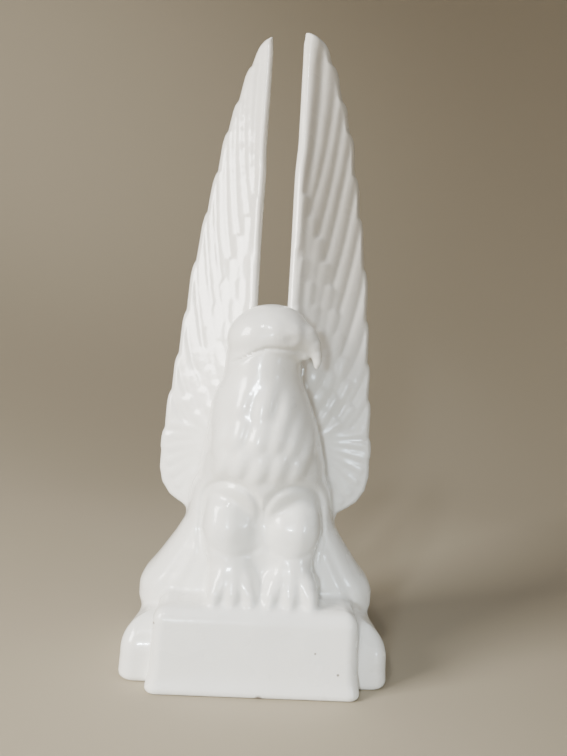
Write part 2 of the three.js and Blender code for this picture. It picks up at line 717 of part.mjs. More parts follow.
function sampleField(xs, ys, zs) {
  const values = new Float32Array(xs.length * ys.length * zs.length);
  let at = 0;
  for (const z of zs) {
    const layer = pieceLayer(z);
    for (const y of ys) {
      for (const x of xs) values[at++] = layer(x, y);
    }
  }
  return values;
}

function carve(xs, ys, zs) {
  const nx = xs.length;
  const ny = ys.length;
  const nz = zs.length;
  const values = sampleField(xs, ys, zs);
  const offsets = Array.from({ length: 8 }, (_, c) => (c & 1) + ((c >> 1) & 1) * nx + (c >> 2) * nx * ny);
  const simple = simpleCells();
  const bitsAt = (at) => (
    offsets.reduce((bits, offset, c) => (values[at + offset] < 0 ? bits | (1 << c) : bits), 0)
  );
  const eachCell = (visit) => {
    for (let k = 0; k < nz - 1; k++) {
      for (let j = 0; j < ny - 1; j++) {
        for (let i = 0; i < nx - 1; i++) visit((k * ny + j) * nx + i, i, j, k);
      }
    }
  };
  let unsettled = 1;
  for (let pass = 0; pass < 30 && unsettled > 0; pass++) {
    unsettled = 0;
    eachCell((at) => {
      if (simple[bitsAt(at)]) return;
      const corners = offsets.map((offset) => at + offset);
      corners.sort((a, b) => Math.abs(values[a]) - Math.abs(values[b]));
      values[corners[0]] = values[corners[0]] < 0 ? 0.1 : -0.1;
      unsettled++;
    });
  }
  const ids = new Int32Array(values.length).fill(-1);
  const points = [];
  eachCell((at, i, j, k) => {
    const bits = bitsAt(at);
    if (bits === 0 || bits === 255) return;
    const sum = [0, 0, 0];
    let crossings = 0;
    for (let a = 0; a < 8; a++) {
      for (const step of [1, 2, 4]) {
        const b = a | step;
        if (b === a || ((bits >> a) & 1) === ((bits >> b) & 1)) continue;
        const fa = values[at + offsets[a]];
        const t = fa / (fa - values[at + offsets[b]]);
        sum[0] += (a & 1) + (step === 1 ? t : 0);
        sum[1] += ((a >> 1) & 1) + (step === 2 ? t : 0);
        sum[2] += (a >> 2) + (step === 4 ? t : 0);
        crossings++;
      }
    }
    ids[at] = points.length / 3;
    points.push(
      xs[i] + (sum[0] / crossings) * (xs[i + 1] - xs[i]),
      ys[j] + (sum[1] / crossings) * (ys[j + 1] - ys[j]),
      zs[k] + (sum[2] / crossings) * (zs[k + 1] - zs[k]),
    );
  });
  const faces = [];
  const strides = [1, nx, nx * ny];
  eachCell((at, i, j, k) => {
    const place = [i, j, k];
    for (let axis = 0; axis < 3; axis++) {
      const second = (axis + 1) % 3;
      const third = (axis + 2) % 3;
      if (place[second] === 0 || place[third] === 0) continue;
      const inside = values[at] < 0;
      if (inside === values[at + strides[axis]] < 0) continue;
      const a = ids[at - strides[second] - strides[third]];
      const b = ids[at - strides[third]];
      const c = ids[at];
      const d = ids[at - strides[second]];
      if (inside) faces.push(a, b, c, a, c, d);
      else faces.push(a, c, b, a, d, c);
    }
  });
  return { points, faces };
}

// Drops any crumb that doesn't hang together with the main body
function mainBody({ points, faces }) {
  const parent = Int32Array.from({ length: points.length / 3 }, (_, i) => i);
  const rootOf = (v) => {
    let at = v;
    while (parent[at] !== at) {
      parent[at] = parent[parent[at]];
      at = parent[at];
    }
    return at;
  };
  for (let f = 0; f < faces.length; f += 3) {
    parent[rootOf(faces[f + 1])] = rootOf(faces[f]);
    parent[rootOf(faces[f + 2])] = rootOf(faces[f]);
  }
  const sizes = new Map();
  for (const v of faces) sizes.set(rootOf(v), (sizes.get(rootOf(v)) ?? 0) + 1);
  const [main] = [...sizes].sort((a, b) => b[1] - a[1])[0];
  const kept = [];
  for (let f = 0; f < faces.length; f += 3) {
    if (rootOf(faces[f]) === main) kept.push(faces[f], faces[f + 1], faces[f + 2]);
  }
  return { points, faces: kept };
}

// Thinning: edges are closed in order of the harm they do until the mesh is small enough

function planeSums(points, faces) {
  const sums = new Float64Array((points.length / 3) * 10);
  for (let f = 0; f < faces.length; f += 3) {
    const [a, b, c] = [faces[f] * 3, faces[f + 1] * 3, faces[f + 2] * 3];
    const ux = points[b] - points[a];
    const uy = points[b + 1] - points[a + 1];
    const uz = points[b + 2] - points[a + 2];
    const vx = points[c] - points[a];
    const vy = points[c + 1] - points[a + 1];
    const vz = points[c + 2] - points[a + 2];
    let nx = uy * vz - uz * vy;
    let ny = uz * vx - ux * vz;
    let nz = ux * vy - uy * vx;
    const length = Math.hypot(nx, ny, nz) || 1;
    nx /= length;
    ny /= length;
    nz /= length;
    const d = -(nx * points[a] + ny * points[a + 1] + nz * points[a + 2]);
    const plane = [nx * nx, nx * ny, nx * nz, nx * d, ny * ny, ny * nz, ny * d, nz * nz, nz * d, d * d];
    for (const corner of [a, b, c]) {
      for (let k = 0; k < 10; k++) sums[(corner / 3) * 10 + k] += (plane[k] * length) / 2;
    }
  }
  return sums;
}

function harm(q, x, y, z) {
  const square = q[0] * x * x + q[4] * y * y + q[7] * z * z;
  const mixed = q[1] * x * y + q[2] * x * z + q[5] * y * z;
  return square + 2 * mixed + 2 * (q[3] * x + q[6] * y + q[8] * z) + q[9];
}

function leastHarm(q, choices) {
  const [a, b, c, d, e, f, g, h, i] = q;
  const det = a * (e * h - f * f) - b * (b * h - f * c) + c * (b * f - e * c);
  const size = (a + e + h) / 3;
  if (Math.abs(det) > 1e-4 * size * size * size) {
    const x = (-d * (e * h - f * f) + b * (g * h - f * i) - c * (g * f - e * i)) / det;
    const y = (a * (f * i - g * h) + d * (b * h - f * c) + c * (g * c - b * i)) / det;
    const z = (a * (f * g - e * i) - b * (c * g - b * i) - d * (b * f - e * c)) / det;
    const middle = choices[2];
    const [first, second] = choices;
    const reach = Math.hypot(first[0] - second[0], first[1] - second[1], first[2] - second[2]);
    if (Math.hypot(x - middle[0], y - middle[1], z - middle[2]) < 2 * reach) return [x, y, z];
  }
  let best = choices[0];
  for (const choice of choices) {
    if (harm(q, ...choice) < harm(q, ...best)) best = choice;
  }
  return best;
}

class Queue {
  constructor() {
    this.items = [];
  }

  push(item) {
    const items = this.items;
    let at = items.length;
    items.push(item);
    while (at > 0) {
      const parent = (at - 1) >> 1;
      if (items[parent].cost <= item.cost) break;
      items[at] = items[parent];
      at = parent;
    }
    items[at] = item;
  }

  pop() {
    const items = this.items;
    const top = items[0];
    const last = items.pop();
    if (items.length === 0) return top;
    let at = 0;
    for (;;) {
      let child = 2 * at + 1;
      if (child >= items.length) break;
      if (child + 1 < items.length && items[child + 1].cost < items[child].cost) child++;
      if (items[child].cost >= last.cost) break;
      items[at] = items[child];
      at = child;
    }
    items[at] = last;
    return top;
  }
}

function thin({ points, faces }, wanted) {
  const sums = planeSums(points, faces);
  const around = Array.from({ length: points.length / 3 }, () => []);
  const alive = new Uint8Array(faces.length / 3).fill(1);
  for (let f = 0; f < faces.length; f++) around[faces[f]].push((f / 3) | 0);
  const version = new Int32Array(points.length / 3);
  const place = (v) => [points[v * 3], points[v * 3 + 1], points[v * 3 + 2]];
  const neighbours = (v) => {
    const out = new Set();
    for (const f of around[v]) {
      for (let k = 0; k < 3; k++) {
        if (faces[f * 3 + k] !== v) out.add(faces[f * 3 + k]);
      }
    }
    return out;
  };
  const queue = new Queue();
  const offer = (a, b) => {
    const q = new Array(10);
    for (let k = 0; k < 10; k++) q[k] = sums[a * 10 + k] + sums[b * 10 + k];
    const pa = place(a);
    const pb = place(b);
    const middle = [(pa[0] + pb[0]) / 2, (pa[1] + pb[1]) / 2, (pa[2] + pb[2]) / 2];
    const target = leastHarm(q, [pa, pb, middle]);
    const length2 = (pa[0] - pb[0]) ** 2 + (pa[1] - pb[1]) ** 2 + (pa[2] - pb[2]) ** 2;
    const cost = Math.max(harm(q, ...target), 0) + 1e-7 * length2;
    queue.push({ cost, a, b, target, va: version[a], vb: version[b] });
  };
  const turnsOver = (v, other, target) => {
    for (const f of around[v]) {
      const corners = [faces[f * 3], faces[f * 3 + 1], faces[f * 3 + 2]];
      if (corners.includes(other)) continue;
      const before = corners.map(place);
      const after = corners.map((c) => (c === v ? target : place(c)));
      const was = normalOf(before);
      const now = normalOf(after);
      const dot = was[0] * now[0] + was[1] * now[1] + was[2] * now[2];
      const sizes = Math.hypot(...was) * Math.hypot(...now);
      if (dot < 0.25 * sizes || Math.hypot(...now) < 1e-3) return true;
    }
    return false;
  };
  for (let v = 0; v < around.length; v++) {
    for (const w of neighbours(v)) {
      if (v < w) offer(v, w);
    }
  }
  let count = faces.length / 3;
  while (count > wanted && queue.items.length) {
    const { a, b, target, va, vb } = queue.pop();
    if (version[a] !== va || version[b] !== vb) continue;
    const nearB = neighbours(b);
    let shared = 0;
    for (const v of neighbours(a)) shared += nearB.has(v) ? 1 : 0;
    if (shared !== 2 || turnsOver(a, b, target) || turnsOver(b, a, target)) continue;
    for (const f of around[b]) {
      const corners = [faces[f * 3], faces[f * 3 + 1], faces[f * 3 + 2]];
      if (corners.includes(a)) {
        alive[f] = 0;
        count--;
        for (const c of corners) {
          if (c !== b) around[c] = around[c].filter((g) => g !== f);
        }
      } else {
        faces[f * 3 + corners.indexOf(b)] = a;
        around[a].push(f);
      }
    }
    around[b] = [];
    version[b] = -1;
    points[a * 3] = target[0];
    points[a * 3 + 1] = target[1];
    points[a * 3 + 2] = target[2];
    for (let k = 0; k < 10; k++) sums[a * 10 + k] += sums[b * 10 + k];
    version[a]++;
    for (const v of neighbours(a)) offer(a, v);
  }
  return { points, faces: faces.filter((_, i) => alive[(i / 3) | 0]) };
}

function normalOf([a, b, c]) {
  const u = [b[0] - a[0], b[1] - a[1], b[2] - a[2]];
  const v = [c[0] - a[0], c[1] - a[1], c[2] - a[2]];
  return [u[1] * v[2] - u[2] * v[1], u[2] * v[0] - u[0] * v[2], u[0] * v[1] - u[1] * v[0]];
}

function geometryOf({ points, faces }) {
  const ids = new Map();
  const kept = [];
  const index = faces.map((v) => {
    if (!ids.has(v)) {
      ids.set(v, kept.length / 3);
      const z = points[v * 3 + 2];
      kept.push(points[v * 3], points[v * 3 + 1], Math.abs(z) < 0.02 ? 0 : z);
    }
    return ids.get(v);
  });
  const geometry = new THREE.BufferGeometry();
  geometry.setAttribute("position", new THREE.Float32BufferAttribute(kept, 3));
  geometry.setIndex(index);
  geometry.computeVertexNormals();
  return geometry;
}

function pieceGeometry() {
  const halfWidth = Math.max(PLINTH_WIDTH / 2, 57 * scale) + GRID;
  const halfDepth = Math.max((PLINTH_DEPTH + STEP_PROJECTION) / 2, 39 * scale) + GRID;
  const xs = gridAxis(-halfWidth, halfWidth, GRID);
  const ys = gridAxis(-halfDepth, halfDepth, GRID);
  const zs = gridAxis(-GRID / 2, PLINTH_HEIGHT + FIGURE_HEIGHT * 1.02 + 2, GRID);
  return geometryOf(thin(mainBody(carve(xs, ys, zs)), TRIANGLES));
}

const group = new THREE.Group();
group.name = "eagle_figurine_group";
const figurine = new THREE.Mesh(
  pieceGeometry(),
  new THREE.MeshStandardMaterial({ name: "white_glaze", color: GLAZE_WHITE, roughness: 0.2, metalness: 0 }),
);
figurine.name = "eagle_figurine";
group.add(figurine);

export default group;
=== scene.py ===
import math

import bpy
import numpy as np
from mathutils import Matrix, Vector


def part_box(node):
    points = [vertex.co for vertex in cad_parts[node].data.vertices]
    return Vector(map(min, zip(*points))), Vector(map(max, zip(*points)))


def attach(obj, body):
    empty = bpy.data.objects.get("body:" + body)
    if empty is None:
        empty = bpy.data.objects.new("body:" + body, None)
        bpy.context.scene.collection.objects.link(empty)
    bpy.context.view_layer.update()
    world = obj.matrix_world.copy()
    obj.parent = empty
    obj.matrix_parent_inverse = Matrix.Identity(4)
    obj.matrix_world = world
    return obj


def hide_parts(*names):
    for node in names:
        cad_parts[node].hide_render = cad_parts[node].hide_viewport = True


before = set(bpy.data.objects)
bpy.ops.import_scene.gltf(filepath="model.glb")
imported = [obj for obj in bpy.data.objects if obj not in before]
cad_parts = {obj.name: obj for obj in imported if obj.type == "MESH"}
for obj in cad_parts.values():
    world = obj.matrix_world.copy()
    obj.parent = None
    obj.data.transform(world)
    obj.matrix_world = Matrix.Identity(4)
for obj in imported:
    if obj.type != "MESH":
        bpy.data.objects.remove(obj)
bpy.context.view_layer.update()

# Lengths in millimetres, as in the solid. FOOT_RELIEF, HEM_GROOVE and the left wing's fainter
# LEFT_RELIEF_SHARE are this scene's own.
PLINTH_WIDTH = 120
PLINTH_DEPTH = 69.5
PLINTH_HEIGHT = 28
PLINTH_CORNER_RADIUS = 9
PLINTH_RIM_RADIUS = 16
PLINTH_DRAFT = 0.01
PLINTH_FLARE = 0.3
PLINTH_TAPER = 0.1
STEP_WIDTH = 91.4
STEP_PROJECTION = 10.5
STEP_HEIGHT = 36
STEP_CORNER_RADIUS = 5.5
STEP_RIM_RADIUS = 6.5
STEP_DRAFT = 0.018
STEP_FLARE = 1.6
UNDERSIDE_RIM_RADIUS = 2.5
FLARE_HEIGHT = 6
PLINTH_CREASE = 1.2
WING_GAP = 15.2
LEADING_EDGE_THICKNESS = 9.4
TRAILING_EDGE_THICKNESS = 3.6
WING_SWEEP = 0.6
TIP_SCALLOP = 1.7
LEFT_TIP_DROP = 3.4
LEFT_RELIEF_SHARE = 0.5
EDGE_BEAD = 0.6
FLIGHT_RELIEF = 1.25
COVERT_RELIEF = 1.15
COVERT_PITCH = 5.6
BREAST_RELIEF = 2.1
THIGH_RELIEF = 1.1
ARCH_GROOVE = 1.3
FOOT_RELIEF = 0.9
HEM_GROOVE = 0.55
HEAD_CREASE = 0.7
TAIL_RELIEF = 0.8
TAIL_FLUTES = 6.5
BACK_RELIEF_SHARE = 0.8
# Height at which the bird's drawing puts the top of the plinth
DRAWN_PLINTH_TOP = 26
CHART_STEP = 0.5
FAR = 1e4


def smoothstep(low, high, v):
    t = np.clip((v - low) / (high - low), 0, 1)
    return t * t * (3 - 2 * t)


def smooth_min(a, b, blend):
    near = np.maximum(blend - np.abs(a - b), 0)
    return np.minimum(a, b) - near * near / (4 * blend)


def smooth_max(a, b, blend):
    return -smooth_min(-a, -b, blend)


def curve(pairs):
    """Smooth curve through (position, value) pairs, without overshoot."""
    k, q = np.array(sorted(pairs), float).T
    h = np.diff(k)
    d = np.diff(q) / h
    m = np.zeros_like(q)
    w1, w2 = 2 * h[1:] + h[:-1], h[1:] + 2 * h[:-1]
    same = d[1:] * d[:-1] > 0
    safe0, safe1 = np.where(same, d[:-1], 1), np.where(same, d[1:], 1)
    m[1:-1] = np.where(same, (w1 + w2) / (w1 / safe0 + w2 / safe1), 0)
    m[0], m[-1] = d[0], d[-1]

    def at(v):
        v = np.clip(v, k[0], k[-1])
        i = np.clip(np.searchsorted(k, v) - 1, 0, len(k) - 2)
        t = (v - k[i]) / h[i]
        t2, t3 = t * t, t * t * t
        return ((2 * t3 - 3 * t2 + 1) * q[i] + (t3 - 2 * t2 + t) * h[i] * m[i]
                + (3 * t2 - 2 * t3) * q[i + 1] + (t3 - t2) * h[i] * m[i + 1])
    return at


def limb(stations, blend):
    """Round limb through (x, y, z, radius) stations."""
    def at(x, y, z):
        out = None
        for a, b in zip(stations[:-1], stations[1:]):
            d = [b[i] - a[i] for i in range(3)]
            length_squared = sum(e * e for e in d)
            t = np.clip(((x - a[0]) * d[0] + (y - a[1]) * d[1] + (z - a[2]) * d[2]) / length_squared, 0, 1)
            dx, dy, dz = [v - a[i] - t * d[i] for i, v in enumerate((x, y, z))]
            away = np.sqrt(dx ** 2 + dy ** 2 + dz ** 2)
            one = away - a[3] - t * (b[3] - a[3])
            out = one if out is None else smooth_min(out, one, blend)
        return out
    return at


def ellipsoid(centre, radii, tilt=0.0):
    """Tilt turns its right end up, in degrees."""
    cos, sin = np.cos(np.radians(tilt)), np.sin(np.radians(tilt))

    def at(px, py, pz):
        x, y, z = px - centre[0], (py - centre[1]) / radii[1], pz - centre[2]
        u, w = (x * cos + z * sin) / radii[0], (z * cos - x * sin) / radii[2]
        k0 = np.sqrt(u * u + y * y + w * w)
        k1 = np.sqrt((u / radii[0]) ** 2 + (y / radii[1]) ** 2 + (w / radii[2]) ** 2)
        return k0 * (k0 - 1) / np.maximum(k1, 1e-6)
    return at


def loft(shape, x, y, z, power):
    """Upright body: half width, front, back and middle are curves of height."""
    half, front, back, middle = [c(z) for c in shape]
    depth, centre = (back - front) / 2, (front + back) / 2
    u = np.abs((x - middle) / half) ** power + np.abs((y - centre) / depth) ** power
    return (u ** (1 / power) - 1) * np.minimum(half, depth)


def rounded_corner(a, b, radius):
    u, v = a + radius, b + radius
    return np.hypot(np.maximum(u, 0), np.maximum(v, 0)) + np.minimum(np.maximum(u, v), 0) - radius


def block(x, y, z, width, front, back, height, corner, rim, draft, flare, taper):
    """Block standing on z = 0: sides lean in, flare out at the foot and draw together to the back."""
    lean = draft * np.clip(z, 0, height) + flare * (1 - np.exp(-((z / FLARE_HEIGHT) ** 2)))
    side = lean + taper * np.clip(y - front, 0, back - front)
    past_side = np.abs(x) - width / 2 + side
    past_end = np.abs(y - (front + back) / 2) - (back - front) / 2 + lean
    plan = rounded_corner(past_side, past_end, corner)
    return np.maximum(rounded_corner(plan, z - height, rim), rounded_corner(plan, -z, UNDERSIDE_RIM_RADIUS))


class Chart:
    """Values over (side, height), worked out once on a grid, blurred by softness, read in between."""

    def __init__(self, x0, x1, z0, z1, step, make, softness=0.0):
        self.x0, self.z0, self.step = x0, z0, step
        X, Z = np.meshgrid(np.arange(x0, x1 + step, step), np.arange(z0, z1 + step, step), indexing="ij")
        a = make(X, Z)
        reach = int(round(softness / step))
        for _ in range(3 if reach else 0):
            for axis in (0, 1):
                pad = [(0, 0), (0, 0)]
                pad[axis] = (reach + 1, reach)
                c = np.cumsum(np.pad(a, pad, mode="edge"), axis)
                n = 2 * reach + 1
                hi = np.take(c, range(n, c.shape[axis]), axis)
                lo = np.take(c, range(0, c.shape[axis] - n), axis)
                a = (hi - lo) / n
        self.a = a.astype(np.float32)

    def __call__(self, x, z):
        u = np.clip((x - self.x0) / self.step, 0, self.a.shape[0] - 1.001)
        v = np.clip((z - self.z0) / self.step, 0, self.a.shape[1] - 1.001)
        i, j = u.astype(np.int32), v.astype(np.int32)
        fu, fv = u - i, v - j
        a = self.a
        return ((a[i, j] * (1 - fu) + a[i + 1, j] * fu) * (1 - fv)
                + (a[i, j + 1] * (1 - fu) + a[i + 1, j + 1] * fu) * fv)


def feather(x, z, tip_x, tip_z, angle, width, length, rise, crown):
    """One overlapping feather: round tip, crowned across, sinking towards its root."""
    cos, sin = np.cos(np.radians(angle)), np.sin(np.radians(angle))
    along = (x - tip_x) * cos + (z - tip_z) * sin
    across = (z - tip_z) * cos - (x - tip_x) * sin
    half = width / 2
    cap = np.clip((along + width * 0.75) / (width * 0.75), 0, 1)
    inside = (along < 0) & (along > -length) & (np.abs(across) < half * np.sqrt(1 - cap ** 2.4))
    height = rise * (1 + along / length) + crown * np.sqrt(np.maximum(1 - (across / half) ** 2, 0))
    return np.where(inside, height, 0)


def highest_feather(x, z, feathers, rise, crown):
    out = np.zeros(x.shape)
    for one in feathers:
        near = (np.abs(x - one[0]) < one[4]) & (np.abs(z - one[1]) < one[4])
        out[near] = np.maximum(out[near], feather(x[near], z[near], *one, rise, crown))
    return out


# Outer edge of a wing: (height, distance from the middle)
OUTER_EDGE = curve([
    (298, 11), (295, 13.6), (290, 16.4), (283, 19.6), (273, 22.8), (262, 26.4), (250, 30.4),
    (236, 33.6), (222, 37), (207, 39.6), (195, 41.4), (180, 43.8), (158, 46), (140, 47.9),
    (120, 49.8), (105, 50.9), (93, 51.5),
])
# The wings differ: spread of each as (height, share), and how far the left one reaches into the gap
LEFT_SPREAD = curve([
    (80, 1), (110, 0.976), (130, 0.952), (150, 0.936), (200, 0.904), (225, 0.884), (244, 0.89),
    (256, 0.91), (268, 0.935), (280, 0.945), (290, 0.99), (298, 1),
])
RIGHT_SPREAD = curve([
    (80, 1.03), (108, 1.026), (141, 1.045), (176, 1.075), (210, 1.103), (222, 1.12), (244, 1.2),
    (258, 1.27), (268, 1.35), (280, 1.42), (287, 1.53), (292, 1.68), (298, 1.74),
])
LEFT_INNER_SHIFT = curve([(150, 0), (200, 0.3), (226, 0.7), (245, 1.2), (270, 1.7), (298, 1.9)])
# Heights at which the flight feathers end on the outer edge
FEATHER_ENDS = [298, 285.5, 268.5, 253.5, 233, 212.5, 187, 161.5, 140, 122, 103, 84]
# Rounded lower end of a wing: (distance from the middle, height)
WING_FOOT = [(51.3, 93), (51.2, 84), (49.4, 77), (45.4, 71.5), (41, 68.8), (36, 66.5), (33, 62)]
# Inner edge's bow off the straight gap, and the front edge's lean to the back: (height, distance)
INNER_EDGE = curve([(299, 1.2), (294, 0.6), (270, 0.6), (245, 0.5), (226, -0.4), (190, -0.4), (150, -0.8)])
LEADING_EDGE = curve([(60, -6), (100, -5), (150, -1.5), (200, 2.5), (250, 6), (300, 9)])
WING_AREA = (0, 58, 56, 306, CHART_STEP)
# Width over which a wing gets thin, the bow of its sweep, and the share of depth that is thickness
WING_CHORD = 36
WING_BOW = 0.0035
ACROSS_SHARE = 0.87


def inner_edge(z):
    return WING_GAP / 2 + INNER_EDGE(z)


def scalloped_edge(z):
    x = OUTER_EDGE(z)
    for hi, lo in zip(FEATHER_ENDS[:-1], FEATHER_ENDS[1:]):
        t = (hi - z) / (hi - lo)
        bulge = np.sqrt(1 - (1 - np.clip(t / 0.4, 0, 1)) ** 2)
        x = x + np.where((t > 0) & (t < 1), TIP_SCALLOP * (bulge - t - 0.35), 0)
    return x


def wing_outline():
    zs = np.arange(297.2, 93, -0.9)
    points = list(zip(scalloped_edge(zs), zs)) + WING_FOOT + [(0, 60), (0, 130), (5, 133), (6.6, 140)]
    zs = np.arange(148, 296, 4)
    points += list(zip(inner_edge(zs), zs))
    return points + [(WING_GAP / 2 + 1.1, 297.8), (WING_GAP / 2 + 2, 298)]


def outline_depth(points, x, z):
    nearest = np.full(x.shape, 1e9)
    inside = np.zeros(x.shape, bool)
    for (ax, az), (bx, bz) in zip(points, points[1:] + points[:1]):
        dx, dz = bx - ax, bz - az
        t = np.clip(((x - ax) * dx + (z - az) * dz) / (dx * dx + dz * dz), 0, 1)
        nearest = np.minimum(nearest, (x - ax - t * dx) ** 2 + (z - az - t * dz) ** 2)
        if dz:
            inside ^= ((az > z) != (bz > z)) & (x < dx * (z - az) / dz + ax)
    return np.where(inside, 1, -1) * np.sqrt(nearest)


# Grooves between flight feathers: upper end, middle and lower end as (distance, height)
VALLEYS = [
    ((13.6, 296), (15.2, 270), (14, 236)),
    ((19.4, 284), (20.6, 258), (17.8, 226)),
    ((24.6, 267), (24.4, 238), (20.4, 206)),
    ((29.6, 252), (28.8, 228), (23.6, 192)),
    ((34.8, 232), (32.6, 206), (27, 176)),
    ((38.6, 212), (36, 190), (30.6, 162)),
    ((42.2, 187), (39.6, 167), (34.6, 146)),
    ((45.2, 161.5), (42.4, 146), (37.6, 133)),
    ((47.6, 140), (44.6, 128), (40, 119)),
    ((49.2, 122), (46, 115), (41.6, 109)),
    ((50.4, 103), (47, 101), (42, 99)),
]


def valley_at(valley, z):
    (x0, z0), (x1, z1), (x2, z2) = valley
    h = np.clip(z, z2 - 30, z0)
    a = x0 * (h - z1) * (h - z2) / ((z0 - z1) * (z0 - z2))
    b = x1 * (h - z0) * (h - z2) / ((z1 - z0) * (z1 - z2))
    c = x2 * (h - z0) * (h - z1) / ((z2 - z0) * (z2 - z1))
    return a + b + c + 0.35 * np.maximum(z - z0, 0)


def flight_relief(x, z):
    edges = [inner_edge(z)] + [valley_at(v, z) for v in VALLEYS] + [np.full(x.shape, 60.0)]
    out = np.zeros(x.shape)
    for low, edge in zip(edges[:-1], edges[1:]):
        high = np.maximum(edge, low + 0.5)
        t = (x - low) / (high - low)
        inside = (t >= 0) & (t < 1)
        ridge = np.sqrt(np.clip(1 - (2 * np.clip(t, 0, 1) ** 0.85 - 1) ** 2, 0, 1))
        out = np.where(inside, FLIGHT_RELIEF * ridge * np.clip((high - low) / 4, 0, 1), out)
    return out


# Coverts: tip's distance and height, angle, width, length
COVERT_ROWS = [
    [(11.5, 219, 86, 5.9, 26), (20, 199, 84, 5.9, 26), (26, 177, 82, 5.9, 24), (31, 158, 80, 5.9, 22),
     (36.5, 140, 76, 5.9, 20), (40.5, 121, 62, 5.7, 16), (42.5, 108, 40, 5.5, 14)],
    [(11.5, 196, 88, 5.7, 24), (18, 173, 85, 5.7, 22), (24.5, 151, 82, 5.7, 19), (30, 134, 76, 5.7, 16),
     (34, 119, 60, 5.5, 13), (36, 108, 34, 5.5, 12)],
    [(11, 168, 88, 5.7, 20), (17, 151, 86, 5.7, 18), (24, 134, 80, 5.5, 14), (28.5, 120, 66, 5.5, 12),
     (31, 109, 36, 5.2, 11)],
    [(12, 146, 90, 5.5, 16), (18.5, 132, 86, 5.5, 13), (23, 120, 74, 5.2, 11), (26, 110, 40, 5.2, 10)],
]
ROW_SHIFTS = (0.1, 0.7, 0.3, 0.9)
# A small feather's slope and crown as shares of COVERT_RELIEF
FEATHER_RISE = 0.46
COVERT_CROWN = 0.6
FOOT_CROWN = 0.54
FOOT_FEATHERS = [
    (47.5, 106, 8, 4.8, 22), (48.4, 100, -4, 4.8, 23), (48.6, 93.6, -15, 4.9, 24), (47.8, 87, -27, 4.9, 24),
    (45.6, 81, -39, 4.9, 23), (42.2, 75.6, -50, 4.8, 21), (38, 71.2, -60, 4.8, 18),
]


def spread_feathers(row, shift):
    """Feathers at even steps along a row, moved on by a share of a step."""
    p = np.array(row, float)
    along = np.concatenate([[0], np.cumsum(np.hypot(np.diff(p[:, 0]), 0.42 * np.diff(p[:, 1])))])
    count = int(along[-1] / COVERT_PITCH + 0.5)
    at = along[-1] * (np.arange(count) + shift) / count
    return list(zip(*[np.interp(at, along, p[:, i]) for i in range(5)]))


COVERTS = [f for row, shift in zip(COVERT_ROWS, ROW_SHIFTS) for f in spread_feathers(row, shift)]


def bead(x, z):
    """Rounded bead along the inner edge, with a fine crease beside it."""
    t = (x - inner_edge(z)) / (4.8 - 0.4 * smoothstep(150, 260, z))
    return EDGE_BEAD * smoothstep(1.3, 0.5, t) - 0.5 * np.exp(-(((t - 1.4) / 0.4) ** 2))


def wing_carving(x, z):
    rise = COVERT_RELIEF * FEATHER_RISE
    small = highest_feather(x, z, COVERTS, rise, COVERT_RELIEF * COVERT_CROWN)
    foot = highest_feather(x, z, FOOT_FEATHERS, rise, COVERT_RELIEF * FOOT_CROWN)
    cover = np.maximum(small, foot)
    flight = flight_relief(x, z)
    return np.where(cover > 0, np.maximum(flight * 0.3, 1.1 * cover + 0.35), flight) + bead(x, z)


outline = wing_outline()
wing_depth = Chart(*WING_AREA, lambda x, z: outline_depth(outline, x, z))
wing_relief = Chart(*WING_AREA, wing_carving, 0.5)
wing_root = curve([(60, 0), (130, 4), (150, 6.6), (300, 7.5)])


def wing_side(x, y, z, spread, shift, relief):
    """One wing as a slab that sweeps back, thinner to its outer edge, with its feathers on it."""
    inner = inner_edge(z)
    x = x + shift * np.clip(1 - (x - inner) / 20, 0, 1)
    out = np.where(x < inner, x, inner + (x - inner) / spread)
    depth = wing_depth(out, z)
    middle = LEADING_EDGE(z) + WING_SWEEP * (out - 8) - WING_BOW * (out - 8) ** 2
    chord = np.clip((out - wing_root(z)) / WING_CHORD, 0, 1)
    taper = (LEADING_EDGE_THICKNESS - TRAILING_EDGE_THICKNESS) * chord ** 0.42
    radius = (LEADING_EDGE_THICKNESS - taper) / 2 * (0.8 + 0.2 * smoothstep(298, 230, z))
    across = (y - middle) * ACROSS_SHARE
    plain = np.hypot(np.maximum(radius - depth, 0), across) - radius
    roll = 0.15 + 0.85 * smoothstep(0.5, 5.5, out - inner)
    share = smoothstep(0.2, 2.2, depth) * roll * np.where(across < 0, 1, BACK_RELIEF_SHARE)
    return plain - wing_relief(out, z) * share * relief


def wings(x, y, z):
    left = x < 0
    height = np.where(left, z + LEFT_TIP_DROP * smoothstep(150, 290, z), z)
    spread = np.where(left, LEFT_SPREAD(z), RIGHT_SPREAD(z))
    shift = np.where(left, LEFT_INNER_SHIFT(z), 0)
    return wing_side(np.abs(x), y, height, spread, shift, np.where(left, LEFT_RELIEF_SHARE, 1))


# Torso and tail: half width, front, back and middle, each over height
TORSO = (
    curve([
        (40, 27), (60, 29), (75, 30), (88, 29.2), (100, 27), (112, 24.6), (123, 21.4), (133, 17.4),
        (143, 16.6), (152, 15),
    ]),
    curve([
        (40, -17), (60, -22.5), (72, -28), (84, -33.5), (100, -36), (114, -35.4), (125, -34.6),
        (135, -34.6), (143, -34.2), (152, -30),
    ]),
    curve([
        (40, 26), (60, 30), (75, 31), (88, 30), (100, 26), (114, 18), (125, 10), (135, 4), (145, 0),
        (152, -4),
    ]),
    curve([(40, 0), (88, -0.5), (106, -1.2), (112, -1.8), (123, -3), (133, -3), (152, -2)]),
)
TAIL_HALF = curve([
    (18, 53), (22, 54.6), (26, 55.6), (31, 55.4), (36, 53.6), (42, 49), (50, 43.4), (58, 38.2),
    (66, 34.4), (76, 33), (90, 30),
])
TAIL = (
    TAIL_HALF,
    curve([(18, -19), (30, -20), (60, -20), (75, -22), (90, -22)]),
    curve([(18, 33), (26, 35), (40, 33), (60, 29), (90, 26)]),
    lambda z: -0.6,
)
